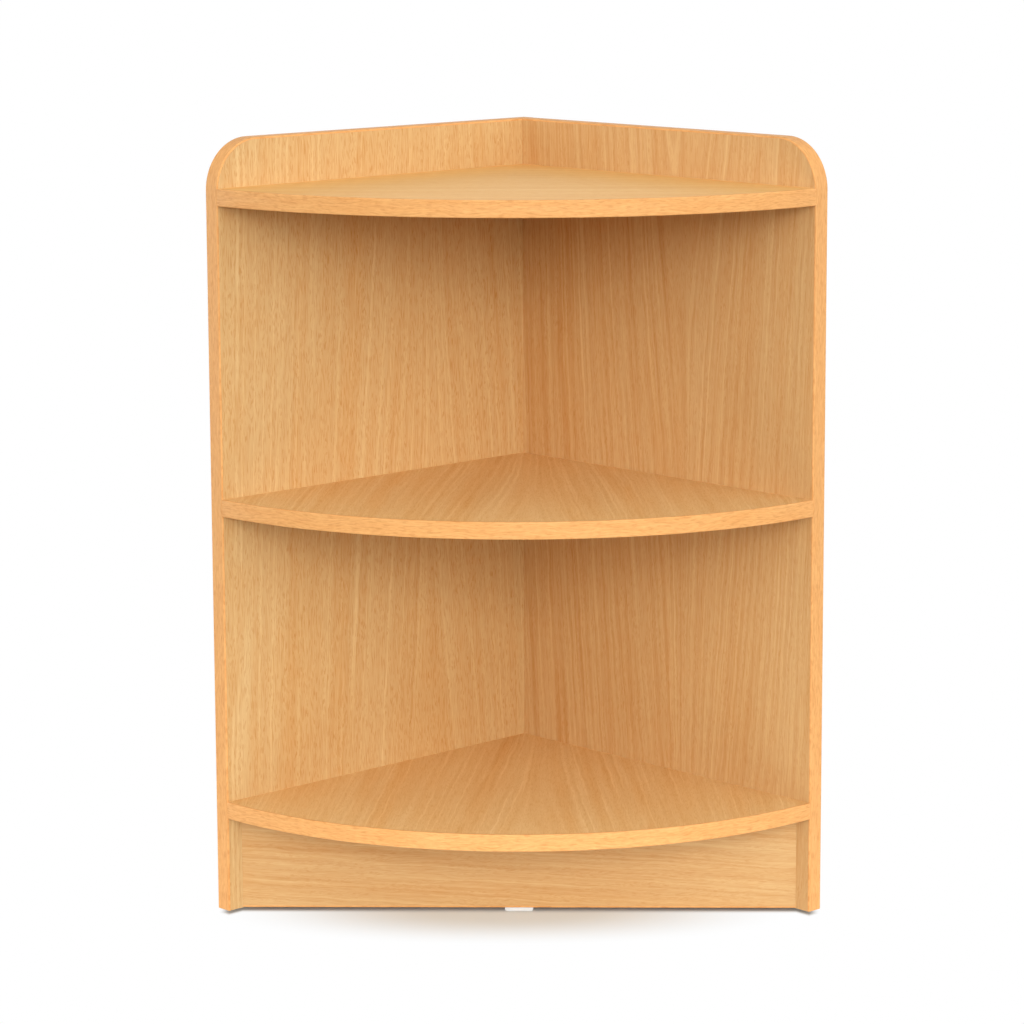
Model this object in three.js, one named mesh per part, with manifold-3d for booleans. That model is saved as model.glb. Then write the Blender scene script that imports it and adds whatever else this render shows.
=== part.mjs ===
// A free-standing corner shelf unit of beech-effect board: two wall panels that meet in the corner,
// three quarter-circle shelves between them, and a straight plinth across the corner on plastic glides.
// Millimetres, +Z up. The origin is on the floor, under the middle of the unit's square footprint.
// The left panel stands along -X and the right panel along +Y, so the open front faces +X and -Y.

import * as THREE from 'three';
import { mergeVertices } from 'three/addons/utils/BufferGeometryUtils.js';
import Module from 'manifold-3d';

// Driving dimensions

const boardThickness = 18;
const unitSide = 450;
const plinthHeight = 100;
const compartmentHeight = 304;
const rimHeight = 50;
const panelCornerRadius = 53;
const plinthSetback = 19;
const edgingThickness = 2;

// Glides and their nails

const glideHeight = 4;
const glideLength = 30;
const glideWidth = 15;
const glideChamfer = 1.5;
const glideInset = 60;
const nailRadius = 1;
const nailHeadRadius = 2.5;
const nailHeadHeight = 1;
const nailHeadRecess = 0.5;
const nailReach = 14;

// Cam fittings, which pull each shelf against the wall panels

const camRadius = 7.5;
const camHeight = 12.6;
const camBoreDepth = 13;
const camInset = 34;
const rearCamRun = 70;
const frontCamRun = 320;
const crossLength = 9;
const crossWidth = 2;
const crossDepth = 3;
const boltThreadRadius = 2.5;
const boltThreadLength = 11;
const boltShankRadius = 3.5;
const boltShankLength = 23;
const boltNeckRadius = 2.1;
const boltHeadRadius = 3.4;
const boltHeadLength = 4;
const boltChamfer = 0.6;

// Wooden dowels

const dowelRadius = 4;
const dowelLength = 30;
const dowelFaceDepth = 12;
const dowelChamfer = 1;
const shelfDowelSetback = 42;
const cornerDowelInset = 60;
const cornerDowelCount = 4;
const plinthDowelPitch = 180;
const plinthDowelCount = 3;

// Clearances and the fineness of the round forms

const pinClearance = 0.3;
const blindHoleSpace = 1;
const cutOverrun = 1;
const shelfArcSteps = 16;
const cornerArcSteps = 6;
const camSides = 20;
const pinSides = 12;

// Sizes that follow from them

const shelfRadius = unitSide - boardThickness;
const shelfLevels = ['bottom', 'middle', 'top'];
const shelfPitch = boardThickness + compartmentHeight;
const topShelfUnderside = plinthHeight + (shelfLevels.length - 1) * shelfPitch;
const panelHeight = topShelfUnderside + boardThickness + rimHeight;
const halfThickness = boardThickness / 2;
const plinthFrontRun = shelfRadius - plinthSetback;
const plinthRearRun = plinthFrontRun - boardThickness * Math.SQRT2;
const plinthMiddleRun = (plinthFrontRun + plinthRearRun) / 2;
const dowelEdgeDepth = dowelLength - dowelFaceDepth;
const quarterTurn = Math.PI / 2;
const eighthTurn = Math.PI / 4;

const axisX = new THREE.Vector3(1, 0, 0);
const axisY = new THREE.Vector3(0, 1, 0);
const axisZ = new THREE.Vector3(0, 0, 1);

// Materials

function finish(color, roughness, metalness) {
  return new THREE.MeshStandardMaterial({ color, roughness, metalness });
}

const beechBoard = finish(0xdca86c, 0.5, 0);
const beechShelf = finish(0xe2b074, 0.5, 0);
const beechEdging = finish(0xf6b566, 0.45, 0);
const whitePlastic = finish(0xe9ebea, 0.4, 0);
const zincAlloy = finish(0xa9abad, 0.4, 0.9);
const steel = finish(0xb8babd, 0.3, 1);
const rawBeech = finish(0xd8b48a, 0.8, 0);

// Solids: a geometry becomes a manifold to be cut, and comes back as a geometry

const wasm = await Module();
wasm.setup();

function toManifold(geometry) {
  const bare = geometry.clone();
  bare.deleteAttribute('normal');
  bare.deleteAttribute('uv');
  const merged = mergeVertices(bare);
  const corners = merged.index.array;
  const kept = [];
  for (let i = 0; i < corners.length; i += 3) {
    const [a, b, c] = corners.slice(i, i + 3);
    if (a !== b && b !== c && c !== a) {
      kept.push(a, b, c);
    }
  }
  const vertProperties = new Float32Array(merged.attributes.position.array);
  return new wasm.Manifold(new wasm.Mesh({ numProp: 3, vertProperties, triVerts: new Uint32Array(kept) }));
}

function toGeometry(solid) {
  const { vertProperties, triVerts } = solid.getMesh();
  const geometry = new THREE.BufferGeometry();
  geometry.setAttribute('position', new THREE.BufferAttribute(vertProperties, 3));
  geometry.setIndex(new THREE.BufferAttribute(triVerts, 1));
  const faceted = geometry.toNonIndexed();
  faceted.computeVertexNormals();
  return faceted;
}

function cut(geometry, cutters) {
  let solid = toManifold(geometry);
  for (const cutter of cutters) {
    solid = solid.subtract(toManifold(cutter));
  }
  return toGeometry(solid);
}

// Round forms along +X, from one distance to another

function roundBar(radius, from, to, sides) {
  const bar = new THREE.CylinderGeometry(radius, radius, to - from, sides);
  bar.rotateZ(-quarterTurn);
  bar.translate((from + to) / 2, 0, 0);
  return bar;
}

function turned(profile, sides) {
  const points = profile.map(([along, radius]) => new THREE.Vector2(radius, along));
  const form = new THREE.LatheGeometry(points, sides);
  form.rotateZ(-quarterTurn);
  return form;
}

// Places in the corner's frame: its origin is the foot of the inner corner line of the two panels.
// "run" counts from that line along a panel towards its front, and "inset" out from the panel's face.
// In each place local +X points out from the panel and local +Z stays up.

const sides = ['left', 'right'];

function atPanel(side, run, inset, height) {
  if (side === 'left') {
    return new THREE.Matrix4().makeTranslation(inset, -run, height);
  }
  const outFromPanel = axisY.clone().negate();
  return new THREE.Matrix4().makeBasis(outFromPanel, axisX, axisZ).setPosition(run, -inset, height);
}

// Turns local +X up for nails, and down for the plinth's dowels
const pointingUp = new THREE.Matrix4().makeBasis(axisZ, axisY, axisX.clone().negate());
const pointingDown = new THREE.Matrix4().makeBasis(axisZ.clone().negate(), axisY, axisX);

const placedAt = (geometry, place) => geometry.clone().applyMatrix4(place);

// Every piece is a named mesh in one group, whose origin is the inner corner line's foot

const unit = new THREE.Group();
const cornerOffset = unitSide / 2 - boardThickness;
unit.position.set(-cornerOffset, cornerOffset, glideHeight);

function addPiece(name, geometry, material, place) {
  const piece = new THREE.Mesh(geometry, material);
  piece.name = name;
  if (place) {
    piece.applyMatrix4(place);
  }
  unit.add(piece);
}

// Dowel joints: each dowel's middle of the joint is its origin, with its short end in a board's face

const dowelShape = turned([
  [-dowelFaceDepth, 0],
  [-dowelFaceDepth, dowelRadius - dowelChamfer],
  [-dowelFaceDepth + dowelChamfer, dowelRadius],
  [dowelEdgeDepth - dowelChamfer, dowelRadius],
  [dowelEdgeDepth, dowelRadius - dowelChamfer],
  [dowelEdgeDepth, 0],
], pinSides);

const dowelHole = turned([
  [-dowelFaceDepth - blindHoleSpace, 0],
  [-dowelFaceDepth - blindHoleSpace, dowelRadius + pinClearance],
  [dowelEdgeDepth + blindHoleSpace, dowelRadius + pinClearance],
  [dowelEdgeDepth + blindHoleSpace, 0],
], pinSides);

// Cam joints: the bolt is screwed into the panel's face and its head reaches the cam's axis

const boltHeadStart = camInset - boltHeadLength;

const boltShape = turned([
  [-boltThreadLength, 0],
  [-boltThreadLength, boltThreadRadius - boltChamfer],
  [-boltThreadLength + boltChamfer, boltThreadRadius],
  [0, boltThreadRadius],
  [0, boltShankRadius],
  [boltShankLength, boltShankRadius],
  [boltShankLength, boltNeckRadius],
  [boltHeadStart, boltNeckRadius],
  [boltHeadStart + boltChamfer, boltHeadRadius],
  [camInset - boltChamfer, boltHeadRadius],
  [camInset, boltHeadRadius - boltChamfer],
  [camInset, 0],
], pinSides);

const boltPilotHole = roundBar(boltThreadRadius + pinClearance, -boltThreadLength - blindHoleSpace,
  cutOverrun, pinSides);
const boltBore = roundBar(boltShankRadius + pinClearance, -cutOverrun, camInset, pinSides);

// The cam's underside is at local height zero, and the bolt's axis passes at the shelf's mid-thickness
const camBore = new THREE.CylinderGeometry(camRadius + pinClearance, camRadius + pinClearance,
  camBoreDepth + cutOverrun, camSides);
camBore.rotateX(quarterTurn);
camBore.translate(0, 0, (camBoreDepth - cutOverrun) / 2);

function camGeometry() {
  const body = new THREE.CylinderGeometry(camRadius, camRadius, camHeight, camSides);
  body.rotateX(quarterTurn);
  body.translate(0, 0, camHeight / 2);

  // The bolt's way in: a slot from the side next to the panel, open at the cam's inner end
  const slotWidth = 2 * (boltHeadRadius + pinClearance);
  const slotBottom = halfThickness - slotWidth / 2;
  const slotHeight = camHeight + cutOverrun - slotBottom;
  const slotLength = camRadius + cutOverrun + blindHoleSpace;
  const slot = new THREE.BoxGeometry(slotLength, slotWidth, slotHeight);
  slot.translate(blindHoleSpace - slotLength / 2, 0, slotBottom + slotHeight / 2);

  // The screwdriver's cross in the underside
  const crossHeight = crossDepth + cutOverrun;
  const crossMiddle = crossDepth - crossHeight / 2;
  const crossAlong = new THREE.BoxGeometry(crossLength, crossWidth, crossHeight);
  const crossAcross = new THREE.BoxGeometry(crossWidth, crossLength, crossHeight);
  crossAlong.translate(0, 0, crossMiddle);
  crossAcross.translate(0, 0, crossMiddle);
  return cut(body, [slot, crossAlong, crossAcross]);
}

const camShape = camGeometry();

// Where the shelves are, and the fixings that each one shares with each wall panel

const shelves = shelfLevels.map((level, index) => ({
  level,
  underside: plinthHeight + index * shelfPitch,
}));

const camRuns = [
  { end: 'rear', run: rearCamRun },
  { end: 'front', run: frontCamRun },
];
const shelfDowelRun = shelfRadius - shelfDowelSetback;

const cornerDowelPitch = (panelHeight - 2 * cornerDowelInset) / (cornerDowelCount - 1);
const cornerDowelPlaces = Array.from({ length: cornerDowelCount }, (_, index) => (
  new THREE.Matrix4().makeTranslation(0, halfThickness, cornerDowelInset + index * cornerDowelPitch)
));

// The plinth's dowels stand in its middle line, which runs across the corner
const plinthDowelPlaces = Array.from({ length: plinthDowelCount }, (_, index) => {
  const across = (index - (plinthDowelCount - 1) / 2) * plinthDowelPitch / Math.SQRT2;
  return pointingDown.clone()
    .setPosition(plinthMiddleRun / 2 + across, across - plinthMiddleRun / 2, plinthHeight);
});

// Glides: one under the plinth's middle, turned to its line, and two under each wall panel

const panelGlideRuns = [
  { end: 'rear', run: glideInset - boardThickness },
  { end: 'front', run: shelfRadius - glideInset },
];

const plinthGlidePlace = new THREE.Matrix4()
  .makeRotationZ(eighthTurn)
  .setPosition(plinthMiddleRun / 2, -plinthMiddleRun / 2, 0);

function panelGlidePlace(side, run) {
  if (side === 'left') {
    return new THREE.Matrix4().makeRotationZ(quarterTurn).setPosition(-halfThickness, -run, 0);
  }
  return new THREE.Matrix4().makeTranslation(run, halfThickness, 0);
}

function glideGeometry() {
  const halfLength = glideLength / 2;
  const side = new THREE.Shape();
  side.moveTo(-halfLength, 0);
  side.lineTo(-halfLength, glideChamfer - glideHeight);
  side.lineTo(glideChamfer - halfLength, -glideHeight);
  side.lineTo(halfLength - glideChamfer, -glideHeight);
  side.lineTo(halfLength, glideChamfer - glideHeight);
  side.lineTo(halfLength, 0);
  const pad = new THREE.ExtrudeGeometry(side, { depth: glideWidth, bevelEnabled: false });
  pad.rotateX(quarterTurn);
  pad.translate(0, glideWidth / 2, 0);

  const nailHole = roundBar(nailRadius + pinClearance, -glideHeight - cutOverrun, cutOverrun, pinSides);
  const headRecess = roundBar(nailHeadRadius + pinClearance, -glideHeight - cutOverrun,
    nailHeadRecess + nailHeadHeight - glideHeight, pinSides);
  return cut(pad, [nailHole, headRecess].map((hole) => placedAt(hole, pointingUp)));
}

const nailHeadBottom = nailHeadRecess - glideHeight;
const nailShape = turned([
  [nailHeadBottom, 0],
  [nailHeadBottom, nailHeadRadius],
  [nailHeadBottom + nailHeadHeight - pinClearance, nailHeadRadius],
  [nailHeadBottom + nailHeadHeight - pinClearance, nailRadius],
  [nailReach - nailRadius, nailRadius],
  [nailReach, 0],
], pinSides);
const boardNailHole = roundBar(nailRadius + pinClearance, -cutOverrun, nailReach + blindHoleSpace,
  pinSides);

const glideShape = glideGeometry();

function addGlide(name, place) {
  addPiece(`${name}_glide`, glideShape, whitePlastic, place);
  addPiece(`${name}_glide_nail`, nailShape, steel, place.clone().multiply(pointingUp));
}

const nailHoleAt = (place) => placedAt(boardNailHole, place.clone().multiply(pointingUp));

// Wall panels: an upright board whose top front corner is rounded, edged in front and on top

// The panel's outline in its own plane, from its bottom rear corner, drawn in by "inset" on the edged sides
function panelPath(rearRun, inset) {
  const front = shelfRadius - inset;
  const top = panelHeight - inset;
  const path = new THREE.Shape();
  path.moveTo(rearRun, 0);
  path.lineTo(front, 0);
  path.lineTo(front, panelHeight - panelCornerRadius);
  path.absarc(shelfRadius - panelCornerRadius, panelHeight - panelCornerRadius,
    panelCornerRadius - inset, 0, quarterTurn, false);
  path.lineTo(rearRun, top);
  return path;
}

function panelEdgingPath(rearRun) {
  const centreRun = shelfRadius - panelCornerRadius;
  const centreHeight = panelHeight - panelCornerRadius;
  const path = new THREE.Shape();
  path.moveTo(shelfRadius, 0);
  path.lineTo(shelfRadius, centreHeight);
  path.absarc(centreRun, centreHeight, panelCornerRadius, 0, quarterTurn, false);
  path.lineTo(rearRun, panelHeight);
  path.lineTo(rearRun, panelHeight - edgingThickness);
  path.lineTo(centreRun, panelHeight - edgingThickness);
  path.absarc(centreRun, centreHeight, panelCornerRadius - edgingThickness, quarterTurn, 0, true);
  path.lineTo(shelfRadius - edgingThickness, 0);
  return path;
}

// Stands an outline of run and height up as a board behind the panel's inner face
function panelBoard(side, path) {
  const board = new THREE.ExtrudeGeometry(path, {
    depth: boardThickness,
    bevelEnabled: false,
    curveSegments: cornerArcSteps,
  });
  const stand = new THREE.Matrix4();
  if (side === 'left') {
    stand.makeBasis(axisY.clone().negate(), axisZ, axisX.clone().negate());
  } else {
    stand.makeBasis(axisX, axisZ, axisY.clone().negate()).setPosition(0, boardThickness, 0);
  }
  return board.applyMatrix4(stand);
}

function panelHoles(side) {
  const holes = [];
  for (const { underside } of shelves) {
    const height = underside + halfThickness;
    for (const { run } of camRuns) {
      holes.push(placedAt(boltPilotHole, atPanel(side, run, 0, height)));
    }
    holes.push(placedAt(dowelHole, atPanel(side, shelfDowelRun, 0, height)));
  }
  for (const place of cornerDowelPlaces) {
    holes.push(placedAt(dowelHole, place));
  }
  for (const { run } of panelGlideRuns) {
    holes.push(nailHoleAt(panelGlidePlace(side, run)));
  }
  return holes;
}

function addPanel(side) {
  // The left panel runs through to the outer corner, and the right panel's rear end butts against it
  const rearRun = side === 'left' ? -boardThickness : 0;
  const board = panelBoard(side, panelPath(rearRun, edgingThickness));
  addPiece(`${side}_panel`, cut(board, panelHoles(side)), beechBoard);
  addPiece(`${side}_panel_edging`, panelBoard(side, panelEdgingPath(rearRun)), beechEdging);
  for (const { end, run } of panelGlideRuns) {
    addGlide(`${side}_${end}`, panelGlidePlace(side, run));
  }
}

// Shelves: a quarter circle about the inner corner line, edged along its curved front

function quarterBoard(path, underside) {
  const board = new THREE.ExtrudeGeometry(path, {
    depth: boardThickness,
    bevelEnabled: false,
    curveSegments: shelfArcSteps,
  });
  return board.translate(0, 0, underside);
}

function shelfPath() {
  const path = new THREE.Shape();
  path.moveTo(0, 0);
  path.lineTo(0, edgingThickness - shelfRadius);
  path.absarc(0, 0, shelfRadius - edgingThickness, -quarterTurn, 0, false);
  return path;
}

function shelfEdgingPath() {
  const path = new THREE.Shape();
  path.absarc(0, 0, shelfRadius, -quarterTurn, 0, false);
  path.absarc(0, 0, shelfRadius - edgingThickness, 0, -quarterTurn, true);
  return path;
}

function addShelf({ level, underside }) {
  const middle = underside + halfThickness;
  const holes = [];
  for (const side of sides) {
    for (const { end, run } of camRuns) {
      const camPlace = atPanel(side, run, camInset, underside);
      const boltPlace = atPanel(side, run, 0, middle);
      holes.push(placedAt(camBore, camPlace), placedAt(boltBore, boltPlace));
      addPiece(`${level}_${side}_${end}_cam`, camShape, zincAlloy, camPlace);
      addPiece(`${level}_${side}_${end}_bolt`, boltShape, steel, boltPlace);
    }
    const dowelPlace = atPanel(side, shelfDowelRun, 0, middle);
    holes.push(placedAt(dowelHole, dowelPlace));
    addPiece(`${level}_${side}_dowel`, dowelShape, rawBeech, dowelPlace);
  }
  if (level === 'bottom') {
    holes.push(...plinthDowelPlaces.map((place) => placedAt(dowelHole, place)));
  }
  addPiece(`${level}_shelf`, cut(quarterBoard(shelfPath(), underside), holes), beechShelf);
  addPiece(`${level}_shelf_edging`, quarterBoard(shelfEdgingPath(), underside), beechEdging);
}

// Plinth: a straight board across the corner, mitred at both ends to lie against the panels

function plinthBoard(from, to) {
  const path = new THREE.Shape();
  path.moveTo(plinthFrontRun, 0);
  path.lineTo(plinthRearRun, 0);
  path.lineTo(0, -plinthRearRun);
  path.lineTo(0, -plinthFrontRun);
  const board = new THREE.ExtrudeGeometry(path, { depth: to - from, bevelEnabled: false });
  return board.translate(0, 0, from);
}

function addPlinth() {
  const nailCut = nailHoleAt(plinthGlidePlace);
  const dowelCuts = plinthDowelPlaces.map((place) => placedAt(dowelHole, place));
  addPiece('plinth', cut(plinthBoard(edgingThickness, plinthHeight), [nailCut, ...dowelCuts]), beechBoard);
  addPiece('plinth_edging', cut(plinthBoard(0, edgingThickness), [nailCut]), beechEdging);
  plinthDowelPlaces.forEach((place, index) => {
    addPiece(`plinth_dowel_${index + 1}`, dowelShape, rawBeech, place);
  });
  addGlide('plinth', plinthGlidePlace);
}

sides.forEach(addPanel);
shelves.forEach(addShelf);
cornerDowelPlaces.forEach((place, index) => {
  addPiece(`corner_dowel_${index + 1}`, dowelShape, rawBeech, place);
});
addPlinth();

const cornerShelfUnit = new THREE.Group();
cornerShelfUnit.add(unit);

export default cornerShelfUnit;
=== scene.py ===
# %% [markdown]
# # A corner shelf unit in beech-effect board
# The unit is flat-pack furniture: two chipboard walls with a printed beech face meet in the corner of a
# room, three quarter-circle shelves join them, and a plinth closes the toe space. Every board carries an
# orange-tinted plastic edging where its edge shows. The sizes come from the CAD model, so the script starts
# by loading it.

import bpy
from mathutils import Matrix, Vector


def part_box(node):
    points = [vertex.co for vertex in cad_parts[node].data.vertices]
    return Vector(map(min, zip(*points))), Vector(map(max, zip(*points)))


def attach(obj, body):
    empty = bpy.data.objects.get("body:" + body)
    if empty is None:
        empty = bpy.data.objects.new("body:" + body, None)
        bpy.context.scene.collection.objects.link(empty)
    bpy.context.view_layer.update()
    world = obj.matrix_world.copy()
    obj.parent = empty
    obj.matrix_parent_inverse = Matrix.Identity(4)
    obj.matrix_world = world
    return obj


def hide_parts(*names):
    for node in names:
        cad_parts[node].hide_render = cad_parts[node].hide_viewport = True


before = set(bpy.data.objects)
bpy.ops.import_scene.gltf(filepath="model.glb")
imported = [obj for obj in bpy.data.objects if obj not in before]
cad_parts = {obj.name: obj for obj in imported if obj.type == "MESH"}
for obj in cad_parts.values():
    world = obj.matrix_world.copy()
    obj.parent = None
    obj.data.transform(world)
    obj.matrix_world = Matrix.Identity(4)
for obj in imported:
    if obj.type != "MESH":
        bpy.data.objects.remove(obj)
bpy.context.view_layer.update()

# %% The rest of the tools
import math

import bmesh
import bpy
from mathutils import Matrix, Vector

scene = bpy.context.scene
MM = 0.001
QUARTER_TURN = math.pi / 2

# %% [markdown]
# ## The corner's own frame
# On the real unit everything is set out from the inner corner, where the two walls meet. A "run" is a
# distance from that corner along a wall, and heights count from the floor. Reading them from the CAD boxes
# keeps the pieces below in step with the model, where typed numbers could drift away from it.

# %% Where things are
right_low, right_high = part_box("right_panel_edging")
corner = Vector((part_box("left_panel_edging")[1].x, right_low.y, 0))
thickness = right_high.y - right_low.y
wall_bottom = right_low.z
wall_top = right_high.z
wall_run = right_high.x - corner.x
print("inner corner", tuple(round(x, 4) for x in corner), "run", round(wall_run, 4))

levels = ("bottom", "middle", "top")
underside = {level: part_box(f"{level}_shelf")[0].z for level in levels}
surface = {level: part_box(f"{level}_shelf")[1].z for level in levels}
print("shelf tops", {level: round(z, 4) for level, z in surface.items()})

# %% Directions and frames
# Along the right wall, to the rear, across the picture, out of the corner, and up
X_AXIS = Vector((1, 0, 0))
Y_AXIS = Vector((0, 1, 0))
ACROSS = Vector((1, 1, 0)).normalized()
OUTWARD = Vector((1, -1, 0)).normalized()
UP = Vector((0, 0, 1))


def frame_at(place, *axes):
    """The matrix that puts a thing in a place and turns its X, Y and Z along three directions."""
    return Matrix.Translation(place) @ Matrix(axes).transposed().to_4x4()


def wall_frame(side):
    """Turns (run, depth into the wall, height) into the place in the room."""
    if side == "left":
        return frame_at(corner, -Y_AXIS, -X_AXIS, UP)
    return frame_at(corner, X_AXIS, Y_AXIS, UP)


# %% [markdown]
# ## The camera
# The photo was taken straight out of the corner, from a little above the unit and about four metres away.
# A long lens keeps the uprights nearly parallel. The place, the heading and the lens come from the corners
# of the unit in the picture; the slight shift stands for the picture's cropping.

# %% Camera
PICTURE_WIDTH = 1024
SENSOR = 36
FOCAL_PIXELS = 3592.47
CENTRE_OF_VIEW = (555.94, 467.16)
CAMERA_PLACE = (2.6525, -2.5313, 1.0931)
HEADING = math.radians(45.716)
PITCH = math.radians(9.551)
ROLL = math.radians(-0.109)

def in_scene(name, data):
    """Makes an object of some data and puts it in the scene."""
    thing = bpy.data.objects.new(name, data)
    scene.collection.objects.link(thing)
    return thing


camera_data = bpy.data.cameras.new("camera")
camera_data.sensor_width = SENSOR
camera_data.lens = FOCAL_PIXELS / PICTURE_WIDTH * SENSOR
camera_data.shift_x = 0.5 - CENTRE_OF_VIEW[0] / PICTURE_WIDTH
camera_data.shift_y = CENTRE_OF_VIEW[1] / PICTURE_WIDTH - 0.5
camera = in_scene("camera", camera_data)

turn = (Matrix.Rotation(HEADING, 4, "Z")
        @ Matrix.Rotation(QUARTER_TURN - PITCH, 4, "X")
        @ Matrix.Rotation(ROLL, 4, "Z"))
camera.matrix_world = Matrix.Translation(CAMERA_PLACE) @ turn
scene.camera = camera
print("lens", round(camera_data.lens, 2), "mm")

# %% [markdown]
# ## Helpers for materials
# A node material is a little program: coordinates go in, patterns are made from them, and a colour comes
# out. A few short helpers keep each recipe readable. The main one makes noise that is stretched along the
# grain, because nearly all that shows on wood is long and thin.

# %% Nodes and sums
def put(tree, kind, inputs=None, **settings):
    """Adds a node, sets it up and fills its sockets with values or with other nodes' outputs."""
    node = tree.nodes.new(kind)
    for name, value in settings.items():
        setattr(node, name, value)
    for key, value in (inputs or {}).items():
        if isinstance(value, bpy.types.NodeSocket):
            tree.links.new(value, node.inputs[key])
        else:
            node.inputs[key].default_value = value
    return node


def sum_of(tree, operation, *values):
    """One step of arithmetic on numbers."""
    node = put(tree, "ShaderNodeMath", dict(enumerate(values)), operation=operation)
    return node.outputs[0]


def reach(tree, place, direction):
    """How far a place lies along a direction."""
    node = put(tree, "ShaderNodeVectorMath", {0: place, 1: direction}, operation="DOT_PRODUCT")
    return node.outputs["Value"]


# %% Noise and fades
SEED_STEP = (7.31, 3.17)


def stretched_noise(tree, across, along, sizes, seed, detail=0.0, roughness=0.5):
    """Noise from 0 to 1 whose spots measure the first size across the grain and the second along it."""
    x = sum_of(tree, "MULTIPLY_ADD", across, 1 / sizes[0], SEED_STEP[0] * seed)
    y = sum_of(tree, "MULTIPLY_ADD", along, 1 / sizes[1], SEED_STEP[1] * seed)
    place = put(tree, "ShaderNodeCombineXYZ", {"X": x, "Y": y}).outputs[0]
    node = put(tree, "ShaderNodeTexNoise",
               {"Vector": place, "Scale": 1.0, "Detail": detail, "Roughness": roughness},
               noise_dimensions="2D")
    return node.outputs["Fac"]


def fade(tree, value, low, high):
    """0 below low, 1 above high, and smooth between them."""
    node = put(tree, "ShaderNodeMapRange", {"Value": value, "From Min": low, "From Max": high},
               interpolation_type="SMOOTHSTEP")
    return node.outputs["Result"]


# %% New materials
def empty_tree(owner):
    """Gives a material or the world nodes of its own, with none in place yet."""
    owner.use_nodes = True
    owner.node_tree.nodes.clear()
    return owner.node_tree


def new_material(name):
    """A material with its shader and its output joined, and nothing else."""
    material = bpy.data.materials.new(name)
    tree = empty_tree(material)
    shader = put(tree, "ShaderNodeBsdfPrincipled")
    put(tree, "ShaderNodeOutputMaterial", {"Surface": shader.outputs[0]})
    return material, tree, shader


def emboss(tree, shader, height, strength, depth):
    """Lets a pattern stand out of the surface a little."""
    bump = put(tree, "ShaderNodeBump", {"Height": height, "Strength": strength, "Distance": depth})
    tree.links.new(bump.outputs[0], shader.inputs["Normal"])


# %% [markdown]
# ## Tinting by layers
# Beech is even in brightness: in the picture its grain shows mostly as a shift from straw to orange. So a
# layer of grain is a number that swings about zero, and each layer moves red a little, green more and blue
# most. Adding up the layers and scaling one base colour keeps the wood calm, where mixing several browns
# would make it look like pine.

# %% Tinting
def tinted(tree, base, layers):
    """The base colour, moved by each (signal, tint) layer: a signal of one adds its tint's shares."""
    total = (1.0, 1.0, 1.0)
    for signal, tint in layers:
        step = put(tree, "ShaderNodeVectorMath", {0: tint, "Scale": signal}, operation="SCALE")
        total = put(tree, "ShaderNodeVectorMath", {0: step.outputs[0], 1: total}, operation="ADD").outputs[0]
    colour = put(tree, "ShaderNodeVectorMath", {0: base, 1: total}, operation="MULTIPLY")
    return colour.outputs[0]


def swing(tree, noise, amount):
    """Noise from 0 to 1 as a signal about zero."""
    return sum_of(tree, "MULTIPLY_ADD", noise, 2 * amount, -amount)


# %% [markdown]
# ## The beech decor
# The boards' faces are paper printed like flat-sawn beech, under a clear resin. The rings of a tree show
# on a plank as lines that lean towards the heart on both sides of it and run straight far from it. Shifting
# the lines by that lean gives the long V shapes that are plain to see on the shelves, where straight
# stripes alone would be easier but look like plastic film. Over them lie short flecks, the rays of the
# beech. Noise has a grid in it that would set them in level rows, so they are jogged along the grain. A few
# streaks that catch the eye are placed one by one.

# %% Sizes in the beech pattern
SOFT_TINT = (0.4, 1.3, 2.5)
FINE_TINT = (0.75, 1.6, 2.7)
RIPPLE = 1.3 * MM
JOG = 30 * MM

# Each pattern's spots: width across the grain, length along it, and a draw of their own
SPOTS = {
    "wander": (0.12, 0.50, 0),
    "ripple": (0.015, 0.04, 1),
    "bands": (0.022, 0.9, 2),
    "pale lines": (0.0036, 0.6, 4),
    "flecks": (0.0014, 0.009, 5),
    "pores": (0.0017, 0.0055, 6),
    "clouds": (0.006, 0.035, 7),
    "hairs": (0.0019, 0.10, 8),
    "strong places": (0.02, 0.09, 9),
    "comb": (0.0038, 0.4, 10),
    "jog": (0.0040, 0.080, 11),
}
STRIPE_LENGTH = 0.30
STRIPE_DRAW = 3
STRIPE_ROUGHNESS = 0.45
PORE_ROUGHNESS = 0.6
print("spots in the beech:", ", ".join(SPOTS))

# %% Strengths in the beech pattern
# How far each pattern moves the colour
BANDS = 0.075
CLOUDS = 0.03
STRIPES = 0.10
HAIRS = 0.035
PALE_LINES = 0.07
FLECKS = 0.06
PORES = 0.075

# Where a pattern starts to show and where it shows in full
PALE_FADE = (0.66, 0.78)
FLECK_FADE = (0.56, 0.70)
STREAK_FADE = (0.2, 0.55)
STREAK_CORE = 0.3
COMB_END = (0.09, 0.17)

# %% Rings
def grain(tree, kind, across, along, seed, **fineness):
    """Noise of one kind from the table of spots."""
    width, length, draw = SPOTS[kind]
    return stretched_noise(tree, across, along, (width, length), seed + draw, **fineness)


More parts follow.
